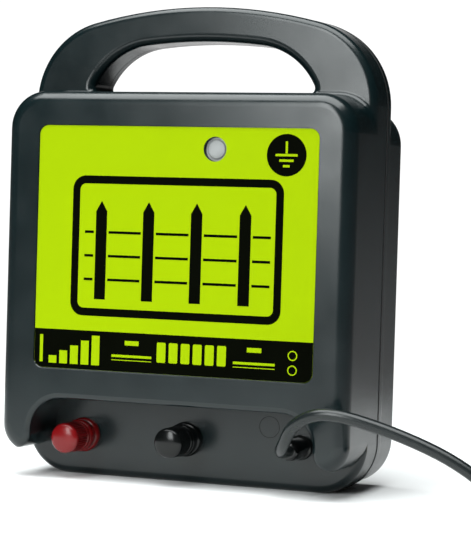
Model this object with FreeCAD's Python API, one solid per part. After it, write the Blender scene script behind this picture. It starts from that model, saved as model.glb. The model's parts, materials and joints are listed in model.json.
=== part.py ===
import FreeCAD, Part
import math
import os
from FreeCAD import Vector

# Mains fence energizer: a two-part plastic case with a carrying handle, two screw-down
# output terminals and a mains lead.  Millimetres.  X is to the right, Y to the back and Z up;
# the origin is under the middle of the case, on the surface that it stands on.

# ---- case ---------------------------------------------------------------------------------
case_width = 197.0
case_height = 254.5
case_depth = 83.0
shoulder_depth = 32.0            # front face to the handle's front face and the bay floor
seam_depth = 52.0                # front face to the joint between the two covers
handle_back_depth = 61.0         # front face to the back of the handle
wall = 2.5
seam_gap = 0.5
base_corner = 26.0               # round of the case's two lower corners
arch_corner = 45.0               # round of the handle's two shoulders
arch_corner_z = 202.7

half_width = case_width / 2
front_y = -case_depth / 2
shoulder_y = front_y + shoulder_depth
seam_y = front_y + seam_depth
handle_back_y = front_y + handle_back_depth
back_y = case_depth / 2

# hand opening in the handle
opening_top = 236.0
opening_bottom = 207.4           # level with the top of the front block
opening_corner = 38.7
opening_corner_x = 28.5
opening_corner_z = 195.6
opening_foot = 4.0

# front block, which carries the label, and the deeper box of the rear cover
block_bottom = 13.5
block_top = 207.4
block_corner_top = 20.0
block_corner_bottom = 15.0
block_edge = 7.5
handle_foot = 3.0                # hollow round where the block meets the handle
handle_edge = 4.0
opening_edge = 4.5
rear_edge = 3.5
box_inset = 1.0
box_top = 203.5
box_corner_top = 20.0
box_corner_bottom = 25.0

# terminal bay: an arch, open at its foot, between the two legs of the front block
bay_ceiling = 43.7
bay_side = 80.4
bay_corner = 17.8
bay_toe = 9.5                    # round of each leg's inner lower corner
bay_toe_z = 25.0
bay_toe_end = 250.0              # angle where the round runs out into a straight chamfer
bay_lip = 3.0

# label and indicator
label_x = 0.5
label_z = 124.5
label_width = 158.0
label_height = 129.0
label_corner = 5.0
label_thickness = 0.3
label_recess = 0.8
indicator_x = 22.5
indicator_z = 177.7
indicator_radius = 6.4
indicator_recess = 2.4

# ---- fittings in the bay ------------------------------------------------------------------
terminals = {"fence": (-62.5, 22.0), "earth": (-2.0, 23.5)}
stud_radius = 3.0
running_gap = 0.05
part_gap = 0.35
base_radius = 9.3
washer_radius = 8.7
washer_back_y = shoulder_y - 5.6
washer_front_y = shoulder_y - 9.4
knob_foot_y = washer_front_y - part_gap
knob_tip_y = shoulder_y - 27.4
knob_teeth = 36
gland_x = 63.2
gland_z = 23.5
gland_reach = 20.5
blank_x = 45.2
blank_z = 33.0
blank_radius = 5.6

# ---- mains lead ---------------------------------------------------------------------------
cord_diameter = 6.4
turn_pitch = 6.6                 # from one turn of the coil to the next one beside it
coil_turns_across = 3
coil_outer_radius = 45.0         # middle of the outermost turn
coil_layers = 2
coil_x = 214.0
coil_y = -12.0
tie_width = 10.0
tie_thickness = 0.9
tie_x = 200.0
plug_height = 13.7
relief_length = 22.0
plug_length = 35.3
pin_length = 19.0
pin_radius = 2.0
pin_spacing = 18.6

coil_floor = tie_thickness
coil_entry_z = coil_floor + cord_diameter / 2
coil_exit_z = coil_entry_z + cord_diameter
exit_radius = coil_outer_radius - turn_pitch / 4
route = [(gland_x, shoulder_y - gland_reach, gland_z), (gland_x, -41.5, gland_z),
         (69.0, -53.0, 28.5), (77.0, -60.5, 41.5), (95.0, -63.5, 49.0), (130.5, -59.5, 40.0),
         (164.0, -57.0, 26.5), (190.0, -57.5, 6.5),
         (coil_x, coil_y - coil_outer_radius, coil_entry_z)]
tail = [(coil_x + exit_radius, coil_y, coil_exit_z), (coil_x + 43.3, 6.0, 9.8),
        (coil_x + 38.5, 25.0, 8.0), (coil_x + 26.0, 40.0, plug_height / 2),
        (coil_x + 10.0, 46.5, plug_height / 2)]

# the plug lies flat, beyond the end of the tail and in line with it
plug_start = Vector(*tail[-1])
plug_heading = math.degrees(math.atan2(tail[-1][1] - tail[-2][1], tail[-1][0] - tail[-2][0]))

# ---- screws -------------------------------------------------------------------------------
body_screws = [(-84.0, 36.0), (84.0, 36.0), (-84.0, 188.0), (84.0, 188.0)]
handle_screws = [(-80.0, 226.0), (80.0, 226.0)]
pilot_radius = 1.9
body_seat_y = 22.0
handle_seat_y = 14.5

# keyholes in the back for two wall screws
keyhole_entry = 5.0
keyhole_slot = 2.6               # half the slot's width
keyhole_rise = 9.5
keyhole_places = [(-35.0, 176.0), (35.0, 176.0)]

# ---- inside -------------------------------------------------------------------------------
board_x = (-60.0, 60.0)
board_z = (112.0, 190.0)
board_y = 8.0
board_thickness = 1.6
standoffs = [(board_x[0] + 5, board_z[0] + 5), (board_x[1] - 5, board_z[0] + 5),
             (board_x[0] + 5, board_z[1] - 5), (board_x[1] - 5, board_z[1] - 5)]
core_centre = Vector(-40.0, 18.5, 76.0)
core_size = (56.0, 20.0, 48.0)
core_limb = 14.0
winding_low = core_centre.z - core_size[2] / 2 + core_limb / 2
winding_high = core_centre.z + core_size[2] / 2 - core_limb / 2
can_x = 34.0
can_y = 18.0
can_z = (38.0, 104.0)
can_radius = 17.0


# ---- small helpers ------------------------------------------------------------------------
def save(name, shape):
    """Write one node, after a check that it is closed."""
    if not shape.isValid():
        print("NOT VALID", name)
    print("%-26s %2d solid %10.1f mm3" % (name, len(shape.Solids), shape.Volume))
    shape.exportStep("parts/" + name + ".step")


def point(x, z, y):
    return Vector(x, y, z)


def line(a, b):
    return Part.LineSegment(a, b).toShape()


def arc_about(cx, cz, radius, start, end, y):
    """Arc in an XZ plane; the angles in degrees run from +X towards +Z."""
    def at(angle):
        t = math.radians(angle)
        return point(cx + radius * math.cos(t), cz + radius * math.sin(t), y)
    return Part.Arc(at(start), at((start + end) / 2), at(end)).toShape()


def prism(wire, y_from, y_to):
    """Solid between two Y planes from a wire drawn at Y = 0."""
    face = Part.Face(wire)
    solid = face.extrude(Vector(0, y_to - y_from, 0))
    solid.translate(Vector(0, y_from, 0))
    return solid


def block(x, y, z):
    """Box from three (low, high) pairs."""
    corner = Vector(x[0], y[0], z[0])
    return Part.makeBox(x[1] - x[0], y[1] - y[0], z[1] - z[0], corner)


def rod(x, z, y_from, y_to, radius):
    """Cylinder along Y."""
    low = min(y_from, y_to)
    return Part.makeCylinder(radius, abs(y_to - y_from), Vector(x, low, z), Vector(0, 1, 0))


def cone(x, z, y_from, y_to, r_from, r_to):
    """Cone along Y."""
    direction = Vector(0, 1 if y_to > y_from else -1, 0)
    return Part.makeCone(r_from, r_to, abs(y_to - y_from), Vector(x, y_from, z), direction)


def fuse(shapes):
    result = shapes[0]
    if len(shapes) > 1:
        result = result.fuse(shapes[1:])
    return result.removeSplitter()


def compound(shapes):
    return Part.makeCompound(shapes)


def round_edges(shape, radius, wanted):
    """Fillet the edges that the test picks."""
    edges = [e for e in shape.Edges if wanted(e)]
    return shape.makeFillet(radius, edges)


def in_plane(edge, y):
    """True when the whole edge lies in one XZ plane."""
    box = edge.BoundBox
    return abs(box.YMin - y) < 1e-4 and abs(box.YMax - y) < 1e-4


def hexagon(x, z, y_from, y_to, across):
    corner = across / math.sqrt(3)
    pts = [point(x + corner * math.cos(math.radians(a)), z + corner * math.sin(math.radians(a)), 0)
           for a in range(0, 361, 60)]
    return prism(Part.makePolygon(pts), y_from, y_to)


def rounded_rectangle(x, z, r_bottom, r_top):
    """Wire at Y = 0 with one radius for the lower corners and one for the upper."""
    (x0, x1), (z0, z1) = x, z
    edges = [line(point(x0 + r_bottom, z0, 0), point(x1 - r_bottom, z0, 0)),
             arc_about(x1 - r_bottom, z0 + r_bottom, r_bottom, -90, 0, 0),
             line(point(x1, z0 + r_bottom, 0), point(x1, z1 - r_top, 0)),
             arc_about(x1 - r_top, z1 - r_top, r_top, 0, 90, 0),
             line(point(x1 - r_top, z1, 0), point(x0 + r_top, z1, 0)),
             arc_about(x0 + r_top, z1 - r_top, r_top, 90, 180, 0),
             line(point(x0, z1 - r_top, 0), point(x0, z0 + r_bottom, 0)),
             arc_about(x0 + r_bottom, z0 + r_bottom, r_bottom, 180, 270, 0)]
    return Part.Wire(edges)


def tube(points, radius):
    """Straight runs joined by tangent arcs, each as large as its two runs allow."""
    pts = [Vector(*p) for p in points]
    edges = []
    start = pts[0]
    radii = []
    for before, here, after in zip(pts, pts[1:], pts[2:]):
        back = (before - here).normalize()
        ahead = (after - here).normalize()
        turn = math.pi - back.getAngle(ahead)
        trim = 0.45 * min((before - here).Length, (after - here).Length)
        bend = trim / math.tan(turn / 2)
        radii.append(bend)
        a = here + back * trim
        b = here + ahead * trim
        middle_way = (back + ahead).normalize()
        to_centre = math.hypot(trim, bend)
        middle = here + middle_way * (to_centre - bend)
        edges.append(line(start, a))
        edges.append(Part.Arc(a, middle, b).toShape())
        start = b
    edges.append(line(start, pts[-1]))
    path = Part.Wire(edges)
    direction = (pts[1] - pts[0]).normalize()
    ring = Part.Wire(Part.makeCircle(radius, pts[0], direction))
    solid = path.makePipeShell([ring], True, True)
    return solid, path.Length, radii


# ---- case outlines ------------------------------------------------------------------------
def arch_edges(corner_x, corner_z, corner, top, foot_angle):
    """Right shoulder arc, wide crown arc and left shoulder arc, all tangent."""
    rise = corner_z - top
    crown = (corner ** 2 - corner_x ** 2 - rise ** 2) / (2 * (rise + corner))
    crown_z = top - crown
    lean = math.degrees(math.atan2(corner_z - crown_z, corner_x))
    return [arc_about(corner_x, corner_z, corner, foot_angle, lean, 0),
            arc_about(0, crown_z, crown, lean, 180 - lean, 0),
            arc_about(-corner_x, corner_z, corner, 180 - lean, 180 - foot_angle, 0)]


def case_outline(inset):
    """Front view of the case with its handle, drawn in by inset."""
    half = half_width - inset
    corner = base_corner - inset
    edges = [line(point(-half + corner, inset, 0), point(half - corner, inset, 0)),
             arc_about(half - corner, inset + corner, corner, -90, 0, 0),
             line(point(half, inset + corner, 0), point(half, arch_corner_z, 0))]
    edges += arch_edges(half_width - arch_corner, arch_corner_z, arch_corner - inset,
                        case_height - inset, 0)
    edges += [line(point(-half, arch_corner_z, 0), point(-half, inset + corner, 0)),
              arc_about(-half + corner, inset + corner, corner, 180, 270, 0)]
    return Part.Wire(edges)


def opening_outline(grow):
    """Hand opening, let out by grow."""
    corner = opening_corner + grow
    floor_z = opening_bottom - grow
    foot = opening_foot + grow
    reach = math.sqrt((corner - foot) ** 2 - (floor_z + foot - opening_corner_z) ** 2)
    foot_x = opening_corner_x + reach
    foot_z = floor_z + foot
    lean = math.degrees(math.atan2(foot_z - opening_corner_z, reach))
    edges = [line(point(-foot_x, floor_z, 0), point(foot_x, floor_z, 0)),
             arc_about(foot_x, foot_z, foot, -90, lean, 0)]
    edges += arch_edges(opening_corner_x, opening_corner_z, corner, opening_top + grow, lean)
    edges += [arc_about(-foot_x, foot_z, foot, 180 - lean, 270, 0)]
    return Part.Wire(edges)


def block_outline(inset, z_low):
    return rounded_rectangle((-half_width + inset, half_width - inset), (z_low, block_top - inset),
                             block_corner_bottom - inset, block_corner_top - inset)


def box_outline(inset):
    edge = half_width - box_inset - inset
    return rounded_rectangle((-edge, edge), (box_inset + inset, box_top - inset),
                             box_corner_bottom - inset, box_corner_top - inset)


def bay_outline(grow):
    """Arch that flares round the legs' inner corners, let out by grow."""
    side = bay_side + grow
    corner = bay_corner + grow
    toe = bay_toe - grow
    centre_x = bay_side - bay_corner
    centre_z = bay_ceiling - bay_corner
    toe_x = bay_side + bay_toe
    low = -5.0
    t = math.radians(bay_toe_end)
    end = point(toe_x + toe * math.cos(t), bay_toe_z + toe * math.sin(t), 0)
    low_x = end.x + (end.z - low) * math.tan(t - math.pi)
    mirror = point(-end.x, end.z, 0)
    edges = [line(point(-low_x, low, 0), point(low_x, low, 0)),
             line(point(low_x, low, 0), end),
             arc_about(toe_x, bay_toe_z, toe, bay_toe_end, 180, 0),
             line(point(side, bay_toe_z, 0), point(side, centre_z, 0)),
             arc_about(centre_x, centre_z, corner, 0, 90, 0),
             line(point(centre_x, centre_z + corner, 0), point(-centre_x, centre_z + corner, 0)),
             arc_about(-centre_x, centre_z, corner, 90, 180, 0),
             line(point(-side, centre_z, 0), point(-side, bay_toe_z, 0)),
             arc_about(-toe_x, bay_toe_z, toe, 0, 180 - bay_toe_end, 0),
             line(mirror, point(-low_x, low, 0))]
    return Part.Wire(edges)


# ---- covers -------------------------------------------------------------------------------
def handle_plate(y_face, y_joint):
    """Half of the handle and rim, with its outer face edge rounded."""
    plate = prism(case_outline(0), y_face, y_joint)
    return round_edges(plate, handle_edge, lambda e: in_plane(e, y_face))


def round_opening(shell, y_face):
    """Round the hand opening's edge where it stands free of the block."""
    return round_edges(shell, opening_edge, lambda e: in_plane(e, y_face) and
                       e.BoundBox.ZMax > opening_top - 0.5 and e.BoundBox.ZMax < opening_top + 0.5)


def front_shell():
    plate = handle_plate(shoulder_y, seam_y - seam_gap / 2)
    raised = prism(block_outline(0, block_bottom), front_y, shoulder_y + 4)
    raised = round_edges(raised, block_edge, lambda e: in_plane(e, front_y))
    raised = raised.cut(prism(bay_outline(0), front_y - 1, shoulder_y))
    lip = [e for e in raised.Edges if in_plane(e, front_y) and e.BoundBox.ZMin > block_bottom + 1 and
           e.BoundBox.ZMax < bay_ceiling + 1]
    raised = raised.makeFillet(bay_lip, lip)
    shell = fuse([plate, raised])
    shell = shell.cut(prism(opening_outline(0), shoulder_y - 1, seam_y)).removeSplitter()
    shell = round_edges(shell, handle_foot, lambda e: in_plane(e, shoulder_y) and
                        e.BoundBox.ZMin > block_top - 1.5 * block_corner_top and
                        e.BoundBox.ZMax < block_top + 0.5)
    return round_opening(shell, shoulder_y)


def front_cavity():
    """Room in the block and its legs, and in the plate behind it."""
    room = prism(block_outline(wall, block_bottom + wall), front_y + wall, seam_y)
    room = round_edges(room, block_edge - wall, lambda e: in_plane(e, front_y + wall))
    room = room.cut(prism(bay_outline(wall), front_y, shoulder_y + wall))
    ring = prism(case_outline(wall), shoulder_y + wall, seam_y)
    ring = ring.cut(prism(opening_outline(wall), shoulder_y, seam_y + 1))
    return fuse([room, ring])


def front_cover():
    shell = front_shell().cut(front_cavity())
    joint = seam_y - seam_gap / 2
    posts = [rod(x, z, shoulder_y + 1, joint, 4.3) for x, z in body_screws[:2] + handle_screws]
    posts += [rod(x, z, front_y + 2, joint, 4.3) for x, z in body_screws[2:]]
    posts += [rod(indicator_x, indicator_z, front_y + 1, front_y + 9, indicator_radius + 2)]
    shell = shell.fuse(posts)
    holes = [rod(x, z, body_seat_y - 28, joint + 1, pilot_radius) for x, z in body_screws]
    holes += [rod(x, z, handle_seat_y - 20, joint + 1, pilot_radius) for x, z in handle_screws]
    half_w = label_width / 2 + 0.4
    half_h = label_height / 2 + 0.4
    recess = prism(rounded_rectangle((label_x - half_w, label_x + half_w),
                                     (label_z - half_h, label_z + half_h),
                                     label_corner + 0.4, label_corner + 0.4),
                   front_y - 1, front_y + label_recess)
    holes += [recess]
    holes += [rod(indicator_x, indicator_z, front_y, front_y + 12, indicator_radius)]
    holes += [rod(x, z, shoulder_y - 1, shoulder_y + wall + 1, 5.05)
              for x, z in terminals.values()]
    holes += [rod(gland_x, gland_z, shoulder_y - 1, shoulder_y + wall + 1, 5.55)]
    ring = rod(blank_x, blank_z, shoulder_y - 1, shoulder_y + 0.35, blank_radius + 0.2)
    holes += [ring.cut(rod(blank_x, blank_z, shoulder_y - 2, shoulder_y + 1, blank_radius - 0.2))]
    shell = shell.cut(holes)
    return shell.removeSplitter()


def keyhole(x, z):
    """Entry hole with a narrow slot above it for a wall screw."""
    entry = rod(x, z, back_y - wall - 0.5, back_y + 1, keyhole_entry)
    slot = block((x - keyhole_slot, x + keyhole_slot), (back_y - wall - 0.5, back_y + 1),
                 (z, z + keyhole_rise))
    end = rod(x, z + keyhole_rise, back_y - wall - 0.5, back_y + 1, keyhole_slot)
    return fuse([entry, slot, end])


def rear_cover():
    joint = seam_y + seam_gap / 2
    plate = handle_plate(handle_back_y, joint).cut(prism(opening_outline(0), joint, handle_back_y))
    plate = round_opening(plate, handle_back_y)
    deep = prism(box_outline(0), seam_y + 3, back_y)
    deep = round_edges(deep, rear_edge, lambda e: in_plane(e, back_y))
    shell = fuse([plate, deep])
    inner_back = back_y - wall
    room = prism(box_outline(wall), seam_y, inner_back)
    ring = prism(case_outline(wall), seam_y, handle_back_y - wall)
    ring = ring.cut(prism(opening_outline(wall), seam_y - 1, handle_back_y))
    shell = shell.cut(fuse([room, ring]))
    posts = [rod(x, z, joint, back_y - 1, 6.2) for x, z in body_screws]
    posts += [rod(x, z, joint, handle_back_y - 1, 6.0) for x, z in handle_screws]
    posts += [rod(x, z, board_y + board_thickness, inner_back + 1, 3.4) for x, z in standoffs]
    posts += [block((x - 9, x + 9), (inner_back - 8, inner_back + 1), (z - 8, z + 15))
              for x, z in keyhole_places]
    shell = shell.fuse(posts)
    holes = [rod(x, z, joint - 1, back_y, 2.1) for x, z in body_screws + handle_screws]
    holes += [rod(x, z, body_seat_y, back_y + 1, 4.0) for x, z in body_screws]
    holes += [rod(x, z, handle_seat_y, handle_back_y + 1, 4.0) for x, z in handle_screws]
    holes += [rod(x, z, board_y, board_y + 12, 1.3) for x, z in standoffs]
    holes += [block((x - 7, x + 7), (inner_back - 6, inner_back), (z - 6, z + 13))
              for x, z in keyhole_places]
    holes += [keyhole(x, z) for x, z in keyhole_places]
    shell = shell.cut(holes)
    return shell.removeSplitter()


def seam_gasket():
    """Soft cord between the covers: one ring round the case and one round the opening."""
    low = seam_y - seam_gap / 2
    high = seam_y + seam_gap / 2
    outer = prism(case_outline(0.7), low, high).cut(prism(case_outline(2.0), low - 1, high + 1))
    inner = prism(opening_outline(2.0), low, high).cut(prism(opening_outline(0.7), low - 1, high + 1))
    return compound([outer, inner])


def screw(x, z, y_seat, length, shank, head, head_height):
    """Pan-head screw along Y, driven from the back, with a cross recess."""
    shank_solid = rod(x, z, y_seat - length, y_seat, shank)
    cap = rod(x, z, y_seat, y_seat + head_height, head)
    body = fuse([shank_solid, cap])
    depth = (y_seat + head_height - 1.2, y_seat + head_height + 1)
    cross = [block((x - head * 0.6, x + head * 0.6), depth, (z - 0.45, z + 0.45)),
             block((x - 0.45, x + 0.45), depth, (z - head * 0.6, z + head * 0.6))]
    return body.cut(cross)


def case_screws():
    screws = [screw(x, z, body_seat_y, 26, 1.85, 3.6, 2.6) for x, z in body_screws]
    screws += [screw(x, z, handle_seat_y, 18, 1.85, 3.6, 2.6) for x, z in handle_screws]
    return compound(screws)


# ---- label and indicator ------------------------------------------------------------------
def front_label():
    y_back = front_y + label_recess
    sheet = prism(rounded_rectangle((label_x - label_width / 2, label_x + label_width / 2),
                                    (label_z - label_height / 2, label_z + label_height / 2),
                                    label_corner, label_corner), y_back - label_thickness, y_back)
    return sheet.cut(rod(indicator_x, indicator_z, front_y - 1, front_y + 3, indicator_radius))


def indicator_lens():
    """Frosted disc with a collar, pushed in from behind."""
    face = front_y + indicator_recess
    disc = rod(indicator_x, indicator_z, face, face + 2.0, indicator_radius)
    return disc.fuse(rod(indicator_x, indicator_z, face + 2.0, face + 5.0, 4.0)).removeSplitter()


def indicator_led():
    y = front_y + indicator_recess + 5.3
    body = rod(indicator_x, indicator_z, y + 1.0, y + 6.0, 2.5)
    flange = rod(indicator_x, indicator_z, y + 6.0, y + 7.0, 2.9)
    legs = [block((indicator_x + s - 0.25, indicator_x + s + 0.25), (y + 7.0, board_y),
                  (indicator_z - 0.25, indicator_z + 0.25)) for s in (-1.27, 1.27)]
    return fuse([body, flange] + legs)


# ---- terminals ----------------------------------------------------------------------------
def terminal_base(x, z):
    """Insulating foot: a flange outside, a seat for the washer and a neck through the floor."""
    rim = rod(x, z, shoulder_y - 2.4, shoulder_y, base_radius)
    taper = cone(x, z, shoulder_y - 2.4, shoulder_y - 3.6, base_radius, base_radius - 0.6)
    seat = rod(x, z, washer_back_y + part_gap, shoulder_y - 3.6, 7.8)
    neck = rod(x, z, shoulder_y, shoulder_y + 6.0, 5.0)
    body = fuse([rim, taper, seat, neck])
    return body.cut(rod(x, z, shoulder_y - 8, shoulder_y + 8, stud_radius))


def terminal_stud(x, z):
    y_inner = shoulder_y + 18
    y_outer = knob_tip_y + 6.5
    shaft = rod(x, z, y_outer, y_inner, stud_radius)
    tip = [e for e in shaft.Edges if in_plane(e, y_outer)]
    return shaft.makeChamfer(0.8, tip)


def terminal_nut(x, z):
    body = hexagon(x, z, shoulder_y + 6.0, shoulder_y + 10.5, 10.0)
    return body.cut(rod(x, z, shoulder_y, shoulder_y + 12, stud_radius))


def terminal_lug(x, z):
    """Ring tongue on the inner end of the stud, with its wire barrel upwards."""
    y = shoulder_y + 10.5
    eye = rod(x, z, y, y + 1.0, 5.5)
    tongue = block((x - 2.6, x + 2.6), (y, y + 1.0), (z + 4, z + 11))
    barrel = Part.makeCylinder(2.2, 7.0, Vector(x, y + 2.2, z + 9.0), Vector(0, 0, 1))
    body = fuse([eye, tongue, barrel])
    bore = Part.makeCylinder(1.2, 6.5, Vector(x, y + 2.2, z + 9.6), Vector(0, 0, 1))
    return body.cut([rod(x, z, y - 1, y + 2, stud_radius), bore])


def terminal_lock_nut(x, z):
    body = hexagon(x, z, shoulder_y + 11.5, shoulder_y + 15.5, 10.0)
    return body.cut(rod(x, z, shoulder_y, shoulder_y + 17, stud_radius))


def clamp_washer(x, z):
    """Collar that the knob pushes down on the fence wire; it slides and doesn't turn."""
    ring = rod(x, z, washer_front_y, washer_back_y, washer_radius)
    ring = round_edges(ring, 1.2, lambda e: in_plane(e, washer_front_y))
    return ring.cut(rod(x, z, washer_front_y - 1, washer_back_y + 1,
                        stud_radius + running_gap))


def knob_shape(x, z):
    """Ribbed grip with a rounded cap, a groove behind the ribs and a plain skirt."""
    rib_start = knob_tip_y + 1.9
    rib_end = knob_foot_y - 4.6
    cap = rod(x, z, knob_tip_y, rib_start, 8.0)
    cap = round_edges(cap, 1.4, lambda e: in_plane(e, knob_tip_y))
    pts = []
    for i in range(2 * knob_teeth + 1):
        angle = math.pi * i / knob_teeth
        radius = 8.0 if i % 2 else 7.5
        pts.append(point(x + radius * math.cos(angle), z + radius * math.sin(angle), 0))
    grip = prism(Part.makePolygon(pts), rib_start, rib_end)
    groove = rod(x, z, rib_end, knob_foot_y - 2.6, 7.3)
    skirt = rod(x, z, knob_foot_y - 2.6, knob_foot_y, 8.1)
    return cap.fuse([grip, groove, skirt])


def terminal_knob(x, z):
    bore = rod(x, z, knob_tip_y + 4.5, knob_foot_y + 1, 5.0)
    return knob_shape(x, z).cut(bore)


def knob_insert(x, z):
    """Threaded brass sleeve moulded into the knob."""
    sleeve = rod(x, z, knob_tip_y + 4.5, knob_foot_y, 5.0)
    return sleeve.cut(rod(x, z, knob_tip_y + 4, knob_foot_y + 1,
                          stud_radius + running_gap))


# ---- cable gland --------------------------------------------------------------------------
def cable_gland():
    """Strain-relief bush: flange on the bay floor, stepped tapered nose, neck through the wall."""
    x, z = gland_x, gland_z
    tip_y = shoulder_y - gland_reach
    flange = rod(x, z, shoulder_y - 2.4, shoulder_y, 6.6)
    nose = cone(x, z, shoulder_y - 2.4, tip_y, 5.3, 4.1)
    ribs = [rod(x, z, shoulder_y - 4.6 - 3.0 * i, shoulder_y - 6.4 - 3.0 * i, 5.9 - 0.18 * i)
            for i in range(4)]
    neck = rod(x, z, shoulder_y, shoulder_y + 9.0, 5.5)
    body = fuse([flange, nose, neck] + ribs)
    return body.cut(rod(x, z, tip_y - 1, shoulder_y + 10, cord_diameter / 2))


def gland_nut():
    body = hexagon(gland_x, gland_z, shoulder_y + wall, shoulder_y + 7.5, 16.0)
    return body.cut(rod(gland_x, gland_z, shoulder_y, shoulder_y + 9, 5.5))


# ---- electronics --------------------------------------------------------------------------
def circuit_board():
    sheet = block(board_x, (board_y, board_y + board_thickness), board_z)
    holes = [rod(x, z, board_y - 1, board_y + 3, 1.6) for x, z in standoffs]
    return sheet.cut(holes)


def board_screws():
    screws = []
    for x, z in standoffs:
        head = rod(x, z, board_y - 2.0, board_y, 2.8)
        shank = rod(x, z, board_y, board_y + 9.0, 1.25)
        screws.append(fuse([head, shank]))
    return compound(screws)


def on_board(x, z, size_x, size_z, height):
    """Box-shaped part standing forward from the board."""
    return block((x - size_x / 2, x + size_x / 2), (board_y - height, board_y),
                 (z - size_z / 2, z + size_z / 2))


def filter_capacitors():
    """Mains suppression capacitor and its smaller partner: potted boxes."""
    boxes = [on_board(-30, 150, 26, 18, 20), on_board(-2, 150, 18, 10, 14)]
    return compound([round_edges(b, 1.0, lambda e: e.BoundBox.YLength > 5) for b in boxes])


def smoothing_capacitors():
    cans = []
    for x in (-32.0, -8.0):
        can = rod(x, 174.0, board_y - 24, board_y, 8.0)
        can = round_edges(can, 1.0, lambda e: in_plane(e, board_y - 24))
        groove = Part.makeTorus(8.0, 0.6, Vector(x, board_y - 4, 174.0), Vector(0, 1, 0))
        cans.append(can.cut(groove))
    return compound(cans)


def storage_capacitor():
    can = Part.makeCylinder(can_radius, can_z[1] - can_z[0], Vector(can_x, can_y, can_z[0]))
    can = can.makeFillet(1.5, [e for e in can.Edges if e.BoundBox.ZLength < 1e-6])
    tabs = [block((can_x + s - 3, can_x + s + 3), (can_y - 0.4, can_y + 0.4),
                  (can_z[1], can_z[1] + 8)) for s in (-7.0, 7.0)]
    return fuse([can] + tabs)


def capacitor_clamp():
    """Steel strap round the can, with two feet on the rear wall."""
    low, high = 64.0, 76.0
    inner_back = back_y - wall
    r = can_radius
    ring = Part.makeCylinder(r + 1.0, high - low, Vector(can_x, can_y, low))
    ring = ring.cut(Part.makeCylinder(r, high - low, Vector(can_x, can_y, low)))
    legs = [block((can_x + s * (r + 1) - (1 if s > 0 else 0), can_x + s * (r + 1) + (0 if s > 0 else 1)),
                  (can_y, inner_back), (low, high)) for s in (-1, 1)]
    feet = [block((can_x + s * (r + 7) - 6, can_x + s * (r + 7) + 6), (inner_back - 1, inner_back),
                  (low, high)) for s in (-1, 1)]
    clear = Part.makeCylinder(r, high - low, Vector(can_x, can_y, low))
    return fuse([ring] + legs + feet).cut(clear)


def thyristor():
    x, z = 44.0, 150.0
    body = on_board(x, z, 10, 4.5, 15)
    tab = block((x - 5, x + 5), (board_y - 21, board_y - 15), (z + 0.9, z + 2.25))
    return fuse([body, tab])


def heat_sink():
    """Finned plate behind the thyristor's tab."""
    x, z = 44.0, 152.25
    plate = block((x - 16, x + 16), (board_y - 30, board_y), (z, z + 2))
    fins = [block((x + s - 0.6, x + s + 0.6), (board_y - 30, board_y), (z + 2, z + 13))
            for s in (-15.4, -9.2, -3.1, 3.1, 9.2, 15.4)]
    return fuse([plate] + fins)


def along_x(x, z, length, radius, y):
    return Part.makeCylinder(radius, length, Vector(x - length / 2, y, z), Vector(1, 0, 0))


def leaded(x, z, length, radius):
    """Axial part lying on the board, with its two bent legs."""
    y = board_y - radius - 0.4
    body = along_x(x, z, length, radius, y)
    wire = along_x(x, z, length + 6, 0.35, y)
    legs = [rod(x + s * (length / 2 + 3), z, y, board_y, 0.35) for s in (-1, 1)]
    return fuse([body, wire] + legs)


def board_diodes():
    return compound([leaded(12.0, 118.0 + 6.0 * i, 7.0, 2.0) for i in range(4)])


def board_resistors():
    row = [leaded(-14.0, 118.0 + 6.0 * i, 9.0, 1.6) for i in range(4)]
    row += [leaded(34.0, 118.0 + 6.0 * i, 11.0, 2.2) for i in range(3)]
    return compound(row)


def fuse_holder():
    """Two clips and a moulded tray for a 5 x 20 fuse."""
    x, z = -34.0, 128.0
    tray = on_board(x, z, 24, 9, 3)
    clips = [block((x + s - 2, x + s + 2), (board_y - 9, board_y - 3), (z - 3.4, z + 3.4))
             for s in (-9.0, 9.0)]
    body = fuse([tray] + clips)
    return body.cut(along_x(x, z, 22, 2.6, board_y - 6.2))


def mains_fuse():
    x, z, y = -34.0, 128.0, board_y - 6.2
    glass = along_x(x, z, 20, 2.3, y)
    caps = [along_x(x + s * 8.0, z, 5.0, 2.6, y) for s in (-1, 1)]
    return fuse([glass] + caps)


def control_chip():
    x, z = 42.0, 176.0
    body = on_board(x, z, 20, 7, 4)
    pins = [block((x + 2.54 * i - 0.25, x + 2.54 * i + 0.25), (board_y - 2, board_y),
                  (z + s * 4.0 - 0.6, z + s * 4.0 + 0.6)) for i in range(-3, 4) for s in (-1, 1)]
    return fuse([body] + pins)


# ---- pulse transformer --------------------------------------------------------------------
def transformer_core():
    """Laminated shell core: an outer frame with a limb up its middle."""
    c = core_centre
    sx, sy, sz = core_size
    outer = block((c.x - sx / 2, c.x + sx / 2), (c.y - sy / 2, c.y + sy / 2),
                  (c.z - sz / 2, c.z + sz / 2))
    windows = []
    for s in (-1, 1):
        inner = c.x + s * core_limb / 2
        outer_x = c.x + s * (sx / 2 - core_limb / 2)
        windows.append(block((min(inner, outer_x), max(inner, outer_x)),
                             (c.y - sy, c.y + sy), (winding_low, winding_high)))
    return outer.cut(windows)


def sleeve(inner_grow, outer_grow, z_low, z_high):
    """Rectangular tube round the middle limb."""
    c = core_centre

    def layer(grow):
        return block((c.x - core_limb / 2 - grow, c.x + core_limb / 2 + grow),
                     (c.y - core_size[1] / 2 - grow, c.y + core_size[1] / 2 + grow),
                     (z_low, z_high))

    outer = layer(outer_grow)
    outer = round_edges(outer, min(1.5, outer_grow * 0.8), lambda e: e.BoundBox.ZLength > 1)
    return outer.cut(layer(inner_grow))


def transformer_bobbin():
    tube_part = sleeve(0.0, 1.2, winding_low, winding_high)
    cheeks = [sleeve(0.0, 10.0, z, z + 1.5) for z in (winding_low, winding_high - 1.5)]
    return fuse([tube_part] + cheeks)


def primary_winding():
    return sleeve(1.2, 4.0, winding_low + 1.5, winding_high - 1.5)


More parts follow.
